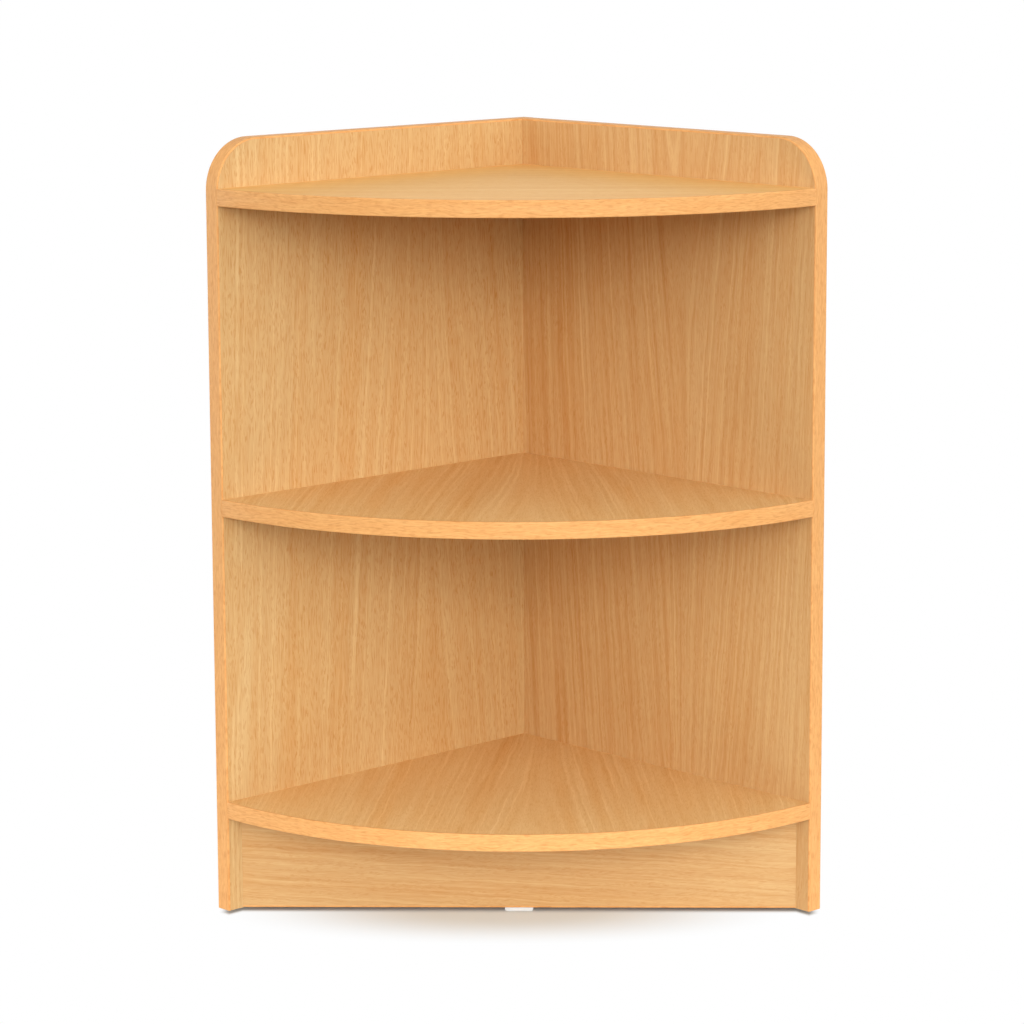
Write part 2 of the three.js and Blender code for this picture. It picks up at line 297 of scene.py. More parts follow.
def rings(tree, along, across, plank):
    """The distance from the heart, first with the lean of the rings and then without it."""
    wander = grain(tree, "wander", across, along, plank["seed"])
    ripple = grain(tree, "ripple", across, along, plank["seed"])
    side = sum_of(tree, "SUBTRACT", across, plank["heart"])
    side = sum_of(tree, "ADD", side, swing(tree, wander, plank["wander"]))
    side = sum_of(tree, "ADD", side, swing(tree, ripple, RIPPLE))
    square = sum_of(tree, "MULTIPLY", side, side)
    spread = sum_of(tree, "SQRT", sum_of(tree, "ADD", square, plank["depth"] ** 2))
    far = sum_of(tree, "MULTIPLY_ADD", square, 1 / plank["reach"] ** 2, 1)
    lean = sum_of(tree, "DIVIDE", side, sum_of(tree, "MULTIPLY", spread, far))
    height = sum_of(tree, "MULTIPLY_ADD", along, plank["taper"], -plank["taper"] * plank["level"])
    return sum_of(tree, "MULTIPLY_ADD", lean, height, side), side


# %% A streak
def streak(tree, ring, along, where, width, seed):
    """1 in the middle of a streak and 0 beside it, with weaker places along it."""
    off = sum_of(tree, "ABSOLUTE", sum_of(tree, "SUBTRACT", ring, where))
    inside = sum_of(tree, "SUBTRACT", 1, fade(tree, off, STREAK_CORE * width, width))
    strong = fade(tree, grain(tree, "strong places", ring, along, seed), *STREAK_FADE)
    return sum_of(tree, "MULTIPLY", inside, strong)


# %% All layers of a plank
def grain_layers(tree, along, across, plank):
    """All layers of one plank, from broad bands down to pores, and the flecks on their own."""
    seed, strength = plank["seed"], plank["strength"]
    ring, side = rings(tree, along, across, plank)
    bands = grain(tree, "bands", ring, along, seed, detail=1)
    stripes = stretched_noise(tree, ring, along, (plank["stripe"], STRIPE_LENGTH), seed + STRIPE_DRAW,
                              detail=1, roughness=STRIPE_ROUGHNESS)
    pale = fade(tree, grain(tree, "pale lines", ring, along, seed), *PALE_FADE)
    clouds = grain(tree, "clouds", side, along, seed, detail=1)
    hairs = grain(tree, "hairs", ring, along, seed)
    jogged = sum_of(tree, "ADD", along, swing(tree, grain(tree, "jog", side, along, seed), JOG))
    flecks = fade(tree, grain(tree, "flecks", side, jogged, seed), *FLECK_FADE)
    pores = grain(tree, "pores", side, jogged, seed, detail=1, roughness=PORE_ROUGHNESS)
    layers = [
        (swing(tree, bands, BANDS), SOFT_TINT),
        (swing(tree, clouds, CLOUDS), SOFT_TINT),
        (swing(tree, stripes, STRIPES * strength), FINE_TINT),
        (swing(tree, hairs, HAIRS * strength), FINE_TINT),
        (sum_of(tree, "MULTIPLY", pale, PALE_LINES), FINE_TINT),
        (sum_of(tree, "MULTIPLY", flecks, -plank.get("flecks", FLECKS)), FINE_TINT),
        (swing(tree, pores, PORES), FINE_TINT),
    ]
    if "comb" in plank:
        teeth = swing(tree, grain(tree, "comb", ring, along, seed), plank["comb"])
        near = sum_of(tree, "SUBTRACT", 1, fade(tree, across, *COMB_END))
        layers.append((sum_of(tree, "MULTIPLY", teeth, near), FINE_TINT))
    for marks, tint in ((plank["fine"], FINE_TINT), (plank["soft"], SOFT_TINT)):
        for where, width, amount in marks:
            mark = streak(tree, ring, along, where - plank["heart"], width, seed)
            layers.append((sum_of(tree, "MULTIPLY", mark, amount), tint))
    return layers, flecks


# %% [markdown]
# ## Raw chipboard
# Where a board has no edging, behind and underneath, its core shows: pressed wood chips, flat and lying in
# the plane of the board. A cell pattern squeezed across the board gives the chips. One material covers both
# looks and chooses by the way each face points, because a CAD board is one piece.

# %% Chipboard
CHIPBOARD = (0.56, 0.40, 0.235)
CHIP_SIZE = 3.4 * MM
CHIP_SQUEEZE = 2.2
CHIP_SWING = 0.24
CHIP_TINT = (1.0, 1.15, 1.4)
GAP_FADE = (0.35, 0.95)
GAP_DEPTH = 0.32
GAP_TINT = (1.0, 1.1, 1.25)


def chipboard(tree, place, face):
    """The core's colour for a board whose faces point along the face direction."""
    squeeze = (Vector((1, 1, 1)) + face * CHIP_SQUEEZE) / CHIP_SIZE
    scaled = put(tree, "ShaderNodeVectorMath", {0: place, 1: squeeze}, operation="MULTIPLY")
    chips = put(tree, "ShaderNodeTexVoronoi", {"Vector": scaled.outputs[0], "Scale": 1.0})
    one_chip = put(tree, "ShaderNodeSeparateColor", {"Color": chips.outputs["Color"]}).outputs[0]
    gaps = fade(tree, chips.outputs["Distance"], *GAP_FADE)
    return tinted(tree, CHIPBOARD, [
        (swing(tree, one_chip, CHIP_SWING), CHIP_TINT),
        (sum_of(tree, "MULTIPLY", gaps, -GAP_DEPTH), GAP_TINT),
    ])


# %% A board's material
BOARD_SHINE = 0.30
PRINT_ROUGHNESS = 0.54
CORE_ROUGHNESS = 0.86
FLECK_ROUGHNESS = 0.05
FLECK_STRENGTH = 0.15
FLECK_DEPTH = 0.03 * MM
FLAT = 0.9
SKIN = 0.1 * MM


def board_material(name, plank, middle):
    """Printed beech on the two faces, and bare chipboard wherever the board is cut or bored."""
    material, tree, shader = new_material(name)
    place = put(tree, "ShaderNodeTexCoord").outputs["Object"]
    along = reach(tree, place, plank["along"])
    across = sum_of(tree, "SUBTRACT", reach(tree, place, plank["across"]), corner.dot(plank["across"]))
    layers, flecks = grain_layers(tree, along, across, plank)
    beech = tinted(tree, plank["colour"], layers)

    facing = reach(tree, put(tree, "ShaderNodeNewGeometry").outputs["True Normal"], plank["face"])
    level_there = sum_of(tree, "GREATER_THAN", sum_of(tree, "ABSOLUTE", facing), FLAT)
    off_middle = sum_of(tree, "ABSOLUTE", sum_of(tree, "SUBTRACT", reach(tree, place, plank["face"]), middle))
    outside = sum_of(tree, "GREATER_THAN", off_middle, thickness / 2 - SKIN)
    printed = sum_of(tree, "MULTIPLY", level_there, outside)
    core = chipboard(tree, place, plank["face"])
    colour = put(tree, "ShaderNodeMix", {0: printed, 6: core, 7: beech}, data_type="RGBA")
    tree.links.new(colour.outputs[2], shader.inputs["Base Color"])

    gloss = sum_of(tree, "MULTIPLY_ADD", printed, PRINT_ROUGHNESS - CORE_ROUGHNESS, CORE_ROUGHNESS)
    gloss = sum_of(tree, "MULTIPLY_ADD", flecks, FLECK_ROUGHNESS, gloss)
    tree.links.new(gloss, shader.inputs["Roughness"])
    shader.inputs["Specular IOR Level"].default_value = BOARD_SHINE
    emboss(tree, shader, flecks, FLECK_STRENGTH, FLECK_DEPTH)
    return material


# %% [markdown]
# ## Six planks
# Each board is cut from another plank, so each gets its own heart, lean and stripes. The right wall's colour
# is a little darker and redder than the left one's, the shelves' are lighter than the walls', and the top
# shelf's is lighter than the lower shelves': painted light, for the light from above on its open top. The
# walls' grain runs up, the top shelf's and the plinth's across the corner, and the two lower shelves' out of
# it. The left wall is calm and full of flecks, and the right one is striped like a comb near the inner
# corner.

# %% Planks
LEFT_BEECH = (0.573, 0.351, 0.143)
RIGHT_BEECH = (0.566, 0.329, 0.131)
SHELF_BEECH = (0.710, 0.429, 0.171)
# The top shelf's colour is lighter than the lower shelves': painted light, for the light from above on its
# open top
TOP_BEECH_WITH_PAINTED_LIGHT = (0.785, 0.443, 0.144)
PLINTH_BEECH = (0.560, 0.331, 0.132)

wall_plank = dict(along=UP, level=0.42, depth=0.035, wander=0.006)
shelf_plank = dict(along=OUTWARD, across=ACROSS, face=UP, level=-0.10, taper=-0.12, reach=0.22, depth=0.030,
                   wander=0.005, stripe=0.0056, strength=0.8, colour=SHELF_BEECH)
planks = {
    "left_panel": dict(wall_plank, across=-Y_AXIS, face=X_AXIS, heart=0.140, taper=0.12, reach=0.13,
                       stripe=0.0056, strength=0.58, flecks=0.125, seed=1, colour=LEFT_BEECH),
    "right_panel": dict(wall_plank, across=X_AXIS, face=Y_AXIS, heart=0.247, taper=-0.13, reach=0.15,
                        stripe=0.0046, strength=1.15, flecks=0.075, comb=0.085, seed=8, colour=RIGHT_BEECH),
    "plinth": dict(along=ACROSS, across=UP, face=OUTWARD, heart=-0.20, level=-0.15, taper=0.07, depth=0.05,
                   reach=0.6, wander=0.004, stripe=0.0042, strength=1.15, seed=15, colour=PLINTH_BEECH),
    "top_shelf": dict(along=ACROSS, across=OUTWARD, face=UP, heart=-0.30, level=0, taper=0.02, depth=0.03,
                      reach=0.3, wander=0.006, stripe=0.0062, strength=0.5, seed=22, colour=TOP_BEECH_WITH_PAINTED_LIGHT),
    "middle_shelf": dict(shelf_plank, heart=0.012, seed=29),
    "bottom_shelf": dict(shelf_plank, heart=0.018, seed=36),
}

# %% Streaks placed one by one
# Fine streaks, then soft ones: each one's place across the board, its half width and its strength
streaks = {
    "left_panel": ([(0.415, 0.0030, 0.12), (0.408, 0.0022, 0.10), (0.360, 0.0020, 0.09),
                    (0.322, 0.0022, 0.07), (0.243, 0.0026, 0.065), (0.190, 0.0022, 0.07),
                    (0.153, 0.0024, -0.06), (0.115, 0.0020, 0.06)],
                   [(0.385, 0.055, 0.035), (0.272, 0.020, -0.035), (0.030, 0.006, -0.03)]),
    "right_panel": ([(0.104, 0.0020, 0.10), (0.212, 0.0025, 0.09), (0.236, 0.0020, -0.09),
                     (0.190, 0.0040, -0.07)],
                    [(0.060, 0.060, -0.03)]),
    "middle_shelf": ([(-0.040, 0.0045, -0.09), (-0.028, 0.0030, -0.07), (0.045, 0.0025, 0.07)],
                     [(-0.135, 0.012, -0.06), (0.110, 0.008, -0.05)]),
    "bottom_shelf": ([(-0.038, 0.0045, -0.09), (-0.026, 0.0030, -0.07), (0.050, 0.0025, 0.07)],
                     [(-0.130, 0.012, -0.06), (0.120, 0.008, -0.05)]),
}
print("boards with streaks:", ", ".join(streaks))

# %% The beech goes on
for node, plank in planks.items():
    plank["fine"], plank["soft"] = streaks.get(node, ((), ()))
    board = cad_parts[node].data
    reaches = [vert.co.dot(plank["face"]) for vert in board.vertices]
    middle = (min(reaches) + max(reaches)) / 2
    board.materials.clear()
    board.materials.append(board_material(f"beech decor {node.replace('_', ' ')}", plank, middle))
print("boards with printed beech:", ", ".join(planks))

# %% [markdown]
# ## The edging's plastic
# The strip on the edges is plastic, extruded and printed with fibres that run along it, and it is more
# orange than the faces. Its pattern has to follow the curves, so each strip gets a map that counts metres
# along and across it, and the fibres are drawn on that map.

# %% Sizes in the edging's pattern
EDGING = (0.690, 0.341, 0.113)
EDGING_TINT = (0.8, 1.25, 1.8)
EDGING_SHINE = 0.25
EDGING_ROUGHNESS = 0.48
EDGING_SEED = 50
FIBRE_ROUGHNESS = 0.16
FIBRE_STRENGTH = 0.2
FIBRE_DEPTH = 0.08 * MM
STRIP_MAP = "strip"
DRIFT = 3 * MM
PATCHES = 0.06
FIBRES = 0.12
FINE_FIBRES = 0.10
SPECKS = 0.10
SPECK_FADE = (0.58, 0.72)
SPOTS.update({
    "drift": (0.02, 0.05, 1),
    "fibres": (0.0018, 0.022, 2),
    "patches": (0.006, 0.07, 3),
    "fine fibres": (0.0011, 0.006, 4),
    "specks": (0.0016, 0.009, 5),
})

# %% Edging material
edging_material, tree, shader = new_material("beech edging")
strip_place = put(tree, "ShaderNodeUVMap", uv_map=STRIP_MAP).outputs[0]
forth, aside = put(tree, "ShaderNodeSeparateXYZ", {0: strip_place}).outputs[:2]
aside = sum_of(tree, "ADD", aside, swing(tree, grain(tree, "drift", aside, forth, EDGING_SEED), DRIFT))
patches, fibres, fine_fibres = (grain(tree, kind, aside, forth, EDGING_SEED, detail=1)
                                for kind in ("patches", "fibres", "fine fibres"))
specks = fade(tree, grain(tree, "specks", aside, forth, EDGING_SEED), *SPECK_FADE)
colour = tinted(tree, EDGING, [
    (swing(tree, patches, PATCHES), SOFT_TINT),
    (swing(tree, fibres, FIBRES), EDGING_TINT),
    (swing(tree, fine_fibres, FINE_FIBRES), EDGING_TINT),
    (sum_of(tree, "MULTIPLY", specks, -SPECKS), EDGING_TINT),
])
tree.links.new(colour, shader.inputs["Base Color"])
gloss = sum_of(tree, "MULTIPLY_ADD", fibres, FIBRE_ROUGHNESS, EDGING_ROUGHNESS)
tree.links.new(gloss, shader.inputs["Roughness"])
shader.inputs["Specular IOR Level"].default_value = EDGING_SHINE
emboss(tree, shader, fibres, FIBRE_STRENGTH, FIBRE_DEPTH)
print("edging material with", len(tree.nodes), "nodes")

# %% [markdown]
# ## Finishing a piece
# Every modelled piece ends in the same way, so one function does it: the faces are turned outwards, flats
# stay flat while rounded arrises shade smoothly, and the piece takes the place of its CAD nodes.

# %% From bmesh to piece
SMOOTH_ANGLE = math.radians(32)


def object_of(bm, name):
    """Makes an object of a bmesh and lets the bmesh go."""
    mesh = bpy.data.meshes.new(name)
    bm.to_mesh(mesh)
    bm.free()
    return in_scene(name, mesh)


def finished(bm, name, slot, material, *nodes):
    """Makes a piece of a closed bmesh and hands it to the frame."""
    bmesh.ops.recalc_face_normals(bm, faces=bm.faces)
    piece = object_of(bm, name)
    piece.data.materials.append(material)
    piece.data.shade_smooth()
    piece.data.set_sharp_from_angle(angle=SMOOTH_ANGLE)
    weighted = piece.modifiers.new("flat faces stay flat", "WEIGHTED_NORMAL")
    weighted.keep_sharp = True
    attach(piece, "root")
    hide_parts(*nodes)
    return piece


def map_strip(bm, where):
    """Writes the strip map: where() gives the metres along and across for a point."""
    layer = bm.loops.layers.uv.new(STRIP_MAP)
    for face in bm.faces:
        for loop in face.loops:
            loop[layer].uv = where(loop.vert.co)


# %% [markdown]
# ## Edging strips
# The factory glues a two-millimetre strip to the board, trims it flush and rounds its two outer arrises
# with a cutter. The model is made like the strip itself: its section is a rectangle with two rounded
# corners, drawn once and pulled along the edge. Pulling a section keeps the rounding even round the
# curves, which a bevel on a bent box wouldn't.

# %% Section of a strip
edging_depth = right_high.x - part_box("right_panel")[1].x
ARRIS = 1.3 * MM
ARRIS_STEPS = 4


def strip_section(bm, depth, width):
    """A section in the XY plane, its outer face at X = 0 looking along +X. Returns its verts and edges."""
    corners = bmesh.ops.create_grid(bm, x_segments=1, y_segments=1, size=0.5)["verts"]
    bmesh.ops.scale(bm, vec=(depth, width, 1), verts=corners)
    bmesh.ops.translate(bm, vec=(-depth / 2, 0, 0), verts=corners)
    outer = [v for v in corners if v.co.x > -depth / 2]
    bmesh.ops.bevel(bm, geom=outer, offset=ARRIS, segments=ARRIS_STEPS, profile=0.5,
                    affect="VERTICES", material=-1)
    return list(bm.verts), list(bm.edges)


# %% Moving, pulling and turning
def moved(bm, matrix):
    """Moves and turns all that is in a bmesh."""
    bmesh.ops.transform(bm, matrix=matrix, verts=bm.verts)


def ends_of(edges):
    """The verts at the ends of some edges, each of them once."""
    return list(dict.fromkeys(v for e in edges for v in e.verts))


def pull(bm, edges, step):
    """Pulls the section's edges on in a straight line and returns the new ones."""
    made = bmesh.ops.extrude_edge_only(bm, edges=edges)["geom"]
    verts = [g for g in made if isinstance(g, bmesh.types.BMVert)]
    bmesh.ops.translate(bm, vec=step, verts=verts)
    return [g for g in made if isinstance(g, bmesh.types.BMEdge) and all(v in verts for v in g.verts)]


def swing_round(bm, edges, centre, axis, steps):
    """Turns the section's edges a quarter round an axis and returns the last ones."""
    made = bmesh.ops.spin(bm, geom=ends_of(edges) + edges, cent=centre, axis=axis, angle=QUARTER_TURN,
                          steps=steps)
    return [g for g in made["geom_last"] if isinstance(g, bmesh.types.BMEdge)]


# %% The way along a wall's strip
CORNER_RADIUS = 53 * MM
CORNER_STEPS = 20
curve_run = wall_run - CORNER_RADIUS
curve_height = wall_top - CORNER_RADIUS


def wall_strip_place(point):
    """Metres along and across the strip of a wall, in the wall's frame."""
    run, depth, height = point
    if height < curve_height:
        return height, depth
    if run > curve_run:
        angle = math.atan2(height - curve_height, run - curve_run)
        return curve_height + angle * CORNER_RADIUS, depth
    return curve_height + QUARTER_TURN * CORNER_RADIUS + curve_run - run, depth


# %% Strips on the walls
def wall_strip(side, rear_run):
    """One strip: up the front, round the corner and back along the top."""
    bm = bmesh.new()
    verts, edges = strip_section(bm, edging_depth, thickness)
    bmesh.ops.translate(bm, vec=(wall_run, thickness / 2, wall_bottom), verts=verts)
    edges = pull(bm, edges, (0, 0, curve_height - wall_bottom))
    edges = swing_round(bm, edges, (curve_run, 0, curve_height), -Y_AXIS, CORNER_STEPS)
    edges = pull(bm, edges, (rear_run - curve_run, 0, 0))
    bmesh.ops.contextual_create(bm, geom=edges)
    map_strip(bm, wall_strip_place)
    moved(bm, wall_frame(side))
    return finished(bm, f"{side}_wall_edging_strip", "beech_edging", edging_material,
                    f"{side}_panel_edging")


for side, rear_run in (("left", -thickness), ("right", 0)):
    piece = wall_strip(side, rear_run)
    print(piece.name, "with", len(piece.data.polygons), "faces")

# %% Strips on the shelves
SHELF_STEPS = 96
LAP = 0.25 * MM


def shelf_strip(level):
    """The strip on a shelf's curved front, bent round the inner corner of the walls."""
    bm = bmesh.new()
    verts, edges = strip_section(bm, edging_depth + LAP, surface[level] - underside[level])
    middle = (surface[level] + underside[level]) / 2
    moved(bm, Matrix.Rotation(QUARTER_TURN, 4, "X"))
    bmesh.ops.translate(bm, vec=(wall_run, 0, middle), verts=verts)
    moved(bm, Matrix.Rotation(-QUARTER_TURN, 4, "Z"))
    edges = swing_round(bm, edges, (0, 0, 0), UP, SHELF_STEPS)
    bmesh.ops.contextual_create(bm, geom=edges)
    map_strip(bm, lambda p: (math.atan2(p.y, p.x) * wall_run + underside[level], p.z))
    bmesh.ops.translate(bm, vec=corner, verts=bm.verts)
    return finished(bm, f"{level}_shelf_edging_strip", "beech_edging", edging_material,
                    f"{level}_shelf_edging")


for level in levels:
    piece = shelf_strip(level)
    print(piece.name, "with", len(piece.data.polygons), "faces")

# %% [markdown]
# ## The plinth's strip
# The plinth is a straight board across the corner, so both its ends are mitred to lie flat on the walls.
# Only its lower edge is edged. The strip is pulled a little too long and then sawn off along both walls,
# as a joiner would do it, which gives exact mitres without working out any angle.

# %% Strip under the plinth
OVERLENGTH = 20 * MM
SAW_GRIP = 0.0001 * MM


def saw(bm, place, normal):
    """Cuts a solid with a plane, drops the part the normal points to and closes the cut."""
    geometry = bm.verts[:] + bm.edges[:] + bm.faces[:]
    done = bmesh.ops.bisect_plane(bm, geom=geometry, dist=SAW_GRIP, plane_co=place, plane_no=normal,
                                  clear_outer=True)
    rim = [g for g in done["geom_cut"] if isinstance(g, bmesh.types.BMEdge)]
    bmesh.ops.contextual_create(bm, geom=rim)


strip_low, strip_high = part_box("plinth_edging")
plinth_front = (strip_high.x - corner.x) / math.sqrt(2)
plinth_middle = plinth_front - thickness / 2
half_length = plinth_front + OVERLENGTH

bm = bmesh.new()
verts, edges = strip_section(bm, strip_high.z - strip_low.z, thickness)
bmesh.ops.translate(bm, vec=(0, 0, -half_length), verts=verts)
edges = pull(bm, edges, (0, 0, 2 * half_length))
bmesh.ops.contextual_create(bm, geom=edges)
map_strip(bm, lambda p: (p.z, p.y))
toe_place = corner + OUTWARD * plinth_middle + UP * strip_low.z
moved(bm, frame_at(toe_place, -UP, OUTWARD, -ACROSS))
saw(bm, corner, -X_AXIS)
saw(bm, corner, Y_AXIS)
piece = finished(bm, "plinth_edging_strip", "beech_edging", edging_material, "plinth_edging")
print(piece.name, "with", len(piece.data.polygons), "faces")

# %% [markdown]
# ## Tools for the small parts
# Fixings are turned on a lathe or cast, so two tools make nearly all of them: one turns a profile round an
# axis, and one cuts a solid with others, as a drill and a cutter do. Each part is made at its own origin
# and keeps a note of that place, so that its material sits in the part and not in the room.

# %% Lathe
TURN_STEPS = 40


def turned(profile, steps=TURN_STEPS):
    """Turns (along, radius) points, in millimetres, round the X axis into a closed solid."""
    bm = bmesh.new()
    points = [bm.verts.new((along * MM, 0, radius * MM)) for along, radius in profile]
    edges = [bm.edges.new(pair) for pair in zip(points, points[1:])]
    bmesh.ops.spin(bm, geom=points + edges, cent=(0, 0, 0), axis=X_AXIS, angle=math.tau, steps=steps,
                   use_merge=True)
    bmesh.ops.remove_doubles(bm, verts=bm.verts, dist=0.001 * MM)
    bmesh.ops.recalc_face_normals(bm, faces=bm.faces)
    return bm


print(TURN_STEPS, "steps to a full turn")

# %% Blocks and cutter
def block(low, high):
    """A box between two corners, in millimetres."""
    bm = bmesh.new()
    verts = bmesh.ops.create_cube(bm, size=MM)["verts"]
    bmesh.ops.scale(bm, vec=Vector(high) - Vector(low), verts=verts)
    bmesh.ops.translate(bm, vec=(Vector(high) + Vector(low)) / 2 * MM, verts=verts)
    return bm


def carved(bm, *cutters):
    """Takes the cutters' volumes out of a solid and returns what is left."""
    items = [object_of(bm, "blank")] + [object_of(cutter, "cutter") for cutter in cutters]
    for cutter in items[1:]:
        cut = items[0].modifiers.new("cut", "BOOLEAN")
        cut.operation = "DIFFERENCE"
        cut.solver = "EXACT"
        cut.object = cutter
    bpy.context.view_layer.update()
    graph = bpy.context.evaluated_depsgraph_get()
    left = bmesh.new()
    left.from_object(items[0], graph)
    for item in items:
        bpy.data.meshes.remove(item.data)
    return left


# %% Parts in their places
OWN_PLACE = "own place"


def placed(template, place, name, slot, material, node):
    """Puts a copy of a small part in its place and hands it over for its CAD node."""
    bm = template.copy()
    note = bm.verts.layers.float_vector.new(OWN_PLACE)
    for vert in bm.verts:
        vert[note] = vert.co
    moved(bm, place)
    return finished(bm, name, slot, material, node)


def middle_of(node):
    """The middle of a CAD node's box."""
    low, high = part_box(node)
    return (low + high) / 2


def from_wall(side, run, out, height):
    """A place on a wall's face: X points out of the wall, Z up."""
    wall = wall_frame(side)
    out_of_wall = -wall.col[1].to_3d()
    return frame_at(wall @ Vector((run, -out, height)), out_of_wall, UP.cross(out_of_wall), UP)


X_UP = Matrix.Rotation(-QUARTER_TURN, 4, "Y")
X_DOWN = Matrix.Rotation(QUARTER_TURN, 4, "Y")

# %% [markdown]
# ## Materials of the small parts
# None of them is one even colour. The moulded pads are faintly cloudy, the cast cams are dull and blotchy,
# and turned steel shows rings from the tool. The dowels are solid beech, with its short flecks along them.

# %% Plastic and metals
WHITE_PLASTIC = (0.66, 0.68, 0.68)
ZINC = (0.60, 0.61, 0.62)
STEEL = (0.66, 0.65, 0.62)
CLOUD_DETAIL = 3
CLOUD_GLOSS = 0.12
MARK_SIZE = 0.3 * MM
MARK_DEPTH = 0.02 * MM
MARK_STRENGTH = 0.3


def cloudy(name, base, size, amount, roughness, metallic):
    """An even stuff with soft clouds in its colour and its gloss."""
    material, tree, shader = new_material(name)
    place = put(tree, "ShaderNodeAttribute", attribute_name=OWN_PLACE).outputs["Vector"]
    noise = put(tree, "ShaderNodeTexNoise", {"Vector": place, "Scale": 1 / size, "Detail": CLOUD_DETAIL})
    clouds = noise.outputs["Fac"]
    colour = tinted(tree, base, [(swing(tree, clouds, amount), (1, 1, 1))])
    tree.links.new(colour, shader.inputs["Base Color"])
    gloss = sum_of(tree, "ADD", swing(tree, clouds, CLOUD_GLOSS), roughness)
    tree.links.new(gloss, shader.inputs["Roughness"])
    shader.inputs["Metallic"].default_value = metallic
    return material, tree, shader, place


white_plastic = cloudy("white plastic", WHITE_PLASTIC, 6 * MM, amount=0.03, roughness=0.42, metallic=0)[0]
zinc_alloy = cloudy("cast zinc", ZINC, 1.2 * MM, amount=0.10, roughness=0.42, metallic=1)[0]
steel, tree, shader, place = cloudy("turned steel", STEEL, 3 * MM, amount=0.05, roughness=0.32, metallic=1)
along = put(tree, "ShaderNodeSeparateXYZ", {0: place}).outputs["X"]
marks = put(tree, "ShaderNodeTexNoise", {"W": along, "Scale": 1 / MARK_SIZE, "Detail": 1.0},
            noise_dimensions="1D").outputs["Fac"]
emboss(tree, shader, marks, MARK_STRENGTH, MARK_DEPTH)

# %% Solid beech
RAW_BEECH = (0.62, 0.42, 0.24)
RAW_ROUGHNESS = 0.72
RAW_SHINE = 0.2

# Long and short flecks: length, width and how far they move the colour
raw_flecks = ((9 * MM, 0.7 * MM, 0.12), (3 * MM, 0.3 * MM, 0.16))

raw_beech, tree, shader = new_material("raw beech")
place = put(tree, "ShaderNodeAttribute", attribute_name=OWN_PLACE).outputs["Vector"]
layers = []
for length, width, amount in raw_flecks:
    squeeze = (1 / length, 1 / width, 1 / width)
    scaled = put(tree, "ShaderNodeVectorMath", {0: place, 1: squeeze}, operation="MULTIPLY").outputs[0]
    flecks = put(tree, "ShaderNodeTexNoise", {"Vector": scaled, "Scale": 1.0, "Detail": 1.0}).outputs["Fac"]
    layers.append((swing(tree, flecks, amount), FINE_TINT))
tree.links.new(tinted(tree, RAW_BEECH, layers), shader.inputs["Base Color"])
shader.inputs["Roughness"].default_value = RAW_ROUGHNESS
shader.inputs["Specular IOR Level"].default_value = RAW_SHINE
print("four materials for the small parts")

# %% [markdown]
# ## Glides and their nails
# A glide is a moulded pad of white plastic that keeps the board's edge off a damp floor. Its two ends are
# sloped so that it slides over joints, its arrises are rounded by the mould, and the nail's head sits in a
# dish, clear of the floor. One glide is made and copied to its five places, as they come from one mould.

# %% A glide
# Sizes of the small parts are in millimetres
GLIDE_LENGTH = 30
GLIDE_WIDTH = 15
GLIDE_SLOPE = 1.5
GLIDE_ARRIS = 0.35
DISH_MOUTH = 3.1
DISH_RADIUS = 2.8
DISH_LIP = 0.3
DISH_DEPTH = 1.5
NAIL_HOLE = 1.3
OVERCUT = 1

sole = -wall_bottom / MM
pad = block((-GLIDE_LENGTH / 2, -GLIDE_WIDTH / 2, sole), (GLIDE_LENGTH / 2, GLIDE_WIDTH / 2, 0))
ends = [e for e in pad.edges if all(v.co.z < 0 for v in e.verts) and e.verts[0].co.x * e.verts[1].co.x > 0
        and abs(e.verts[0].co.y - e.verts[1].co.y) > GLIDE_WIDTH / 2 * MM]
bmesh.ops.bevel(pad, geom=ends, offset=GLIDE_SLOPE * MM, segments=1, profile=0.5,
                affect="EDGES", material=-1)
arrises = [e for e in pad.edges if any(v.co.z < -0.1 * MM for v in e.verts)]
bmesh.ops.bevel(pad, geom=arrises, offset=GLIDE_ARRIS * MM, segments=2, profile=0.5,
                affect="EDGES", material=-1)
nail_hole = turned([(sole - OVERCUT, 0), (sole - OVERCUT, DISH_MOUTH), (sole, DISH_MOUTH),
                    (sole + DISH_LIP, DISH_RADIUS), (sole + DISH_DEPTH, DISH_RADIUS),
                    (sole + DISH_DEPTH, NAIL_HOLE), (OVERCUT, NAIL_HOLE), (OVERCUT, 0)])
moved(nail_hole, X_UP)
glide = carved(pad, nail_hole)
print("glide with", len(glide.faces), "faces")

# %% A nail
NAIL_RADIUS = 1.0
NAIL_STEPS = 24
nail_head = [(-3.5, 0), (-3.45, 1.2), (-3.3, 2.0), (-3.1, 2.4), (-2.95, 2.5), (-2.8, 2.5)]
nail_shank = [(-2.8, NAIL_RADIUS), (11, NAIL_RADIUS), (13.7, 0.15), (14, 0)]
nail = turned(nail_head + nail_shank, steps=NAIL_STEPS)
print("nail with", len(nail.faces), "faces")

# %% Glides and nails in their places
glide_lengths = {"plinth": ACROSS, "left_rear": Y_AXIS, "left_front": Y_AXIS,
                 "right_rear": X_AXIS, "right_front": X_AXIS}
for where, length in glide_lengths.items():
    node = f"{where}_glide"
    middle = middle_of(node)
    place = Vector((middle.x, middle.y, wall_bottom))
    glide_place = frame_at(place, length, UP.cross(length), UP)
    placed(glide, glide_place, f"{where}_pad", "white_plastic", white_plastic, node)
    placed(nail, Matrix.Translation(place) @ X_UP, f"{where}_pad_nail", "steel", steel, f"{node}_nail")
print("glides:", ", ".join(glide_lengths))

# %% [markdown]
# ## Cams and their bolts
# A cam fitting pulls a shelf against the wall: the bolt is screwed into the wall, its head enters the cam
# from the side, and half a turn of the cross draws it in. The cam is a zinc casting with a rim, a groove
# under it, a cross for the screwdriver and a small pointer to the bolt. The bolt is turned, with sharp rings
# for a thread, as nobody can tell them from a helix in there.

